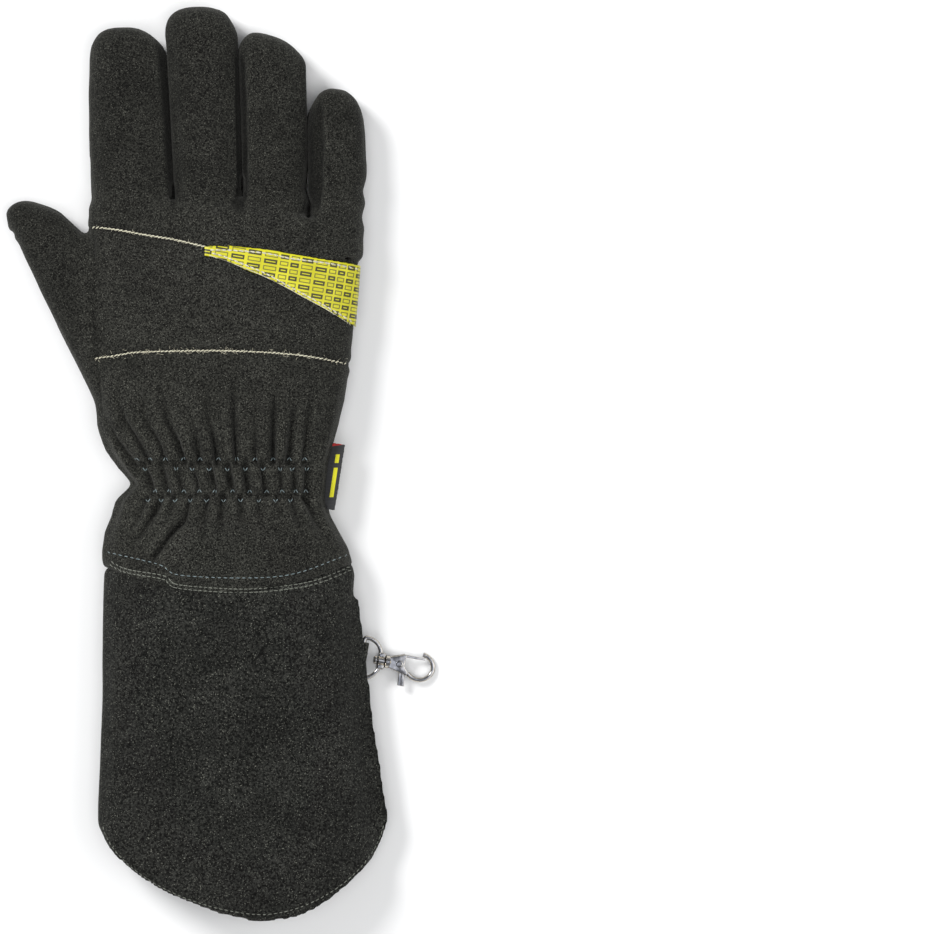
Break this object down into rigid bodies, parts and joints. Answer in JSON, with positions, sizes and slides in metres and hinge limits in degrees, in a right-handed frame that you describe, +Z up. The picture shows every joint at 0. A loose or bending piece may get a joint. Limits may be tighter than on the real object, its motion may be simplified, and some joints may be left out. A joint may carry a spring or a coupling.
{
  "type": "firefighter glove",
  "caption": "Right-hand firefighter glove in black split leather with a gathered wrist, long cuff, closing strap and swivel clasp, lying palm down.",
  "frame": {"origin": "on the surface that the glove lies on, under the heel of the palm", "axes": "+Y along the hand towards the fingertips, +Z up from the palm through the back of the hand, +X towards the little finger"},
  "size_m": [0.2051, 0.4357, 0.036],
  "materials": {
    "back_suede": "black split leather with a short nap",
    "palm_suede": "black split leather with a short nap",
    "cuff_suede": "coarser black split leather",
    "strap_suede": "black split leather, cut edges",
    "reflective_tape": "fluorescent yellow tape with a plain grid",
    "label_cloth": "woven label, bare",
    "loop_pile": "black hook-and-loop pile",
    "nickel": "bright nickel plate"
  },
  "bodies": {
    "root": {"back_fingers_panel": "back_suede", "back_hand_panel": "back_suede", "palm_panel": "palm_suede", "thumb_panel": "palm_suede", "sidewall_index_middle": "palm_suede", "sidewall_middle_ring": "palm_suede", "sidewall_ring_little": "palm_suede", "reflective_insert": "reflective_tape", "side_label": "label_cloth", "cuff_back": "cuff_suede", "cuff_palm": "cuff_suede", "half_round_patch": "cuff_suede", "loop_patch": "loop_pile", "pull_tab": "strap_suede", "closure_strap": "strap_suede", "ring_loop": "strap_suede"},
    "ring": {"d_ring": "nickel"},
    "clasp": {"clasp_body": "nickel", "lever_rivet": "nickel"},
    "lever": {"clasp_lever": "nickel"}
  },
  "joints": [
    {"name": "ring_flip", "type": "hinge", "parent": "root", "child": "ring", "pos_m": [0.06524, -0.1133, 0.01], "axis": [0.1736, 0.9848, 0], "range_deg": [-22, 50]},
    {"name": "swivel", "type": "hinge", "parent": "ring", "child": "clasp", "pos_m": [0.08317, -0.11646, 0.00565], "axis": [0.9578, -0.1689, -0.2324], "continuous": true},
    {"name": "lever_pull", "type": "hinge", "parent": "clasp", "child": "lever", "pos_m": [0.08317, -0.11646, 0.00565], "axis": [-0.2289, 0.0404, -0.9726], "range_deg": [0, 24], "stiffness_Nm_per_rad": 0.01}
  ]
}
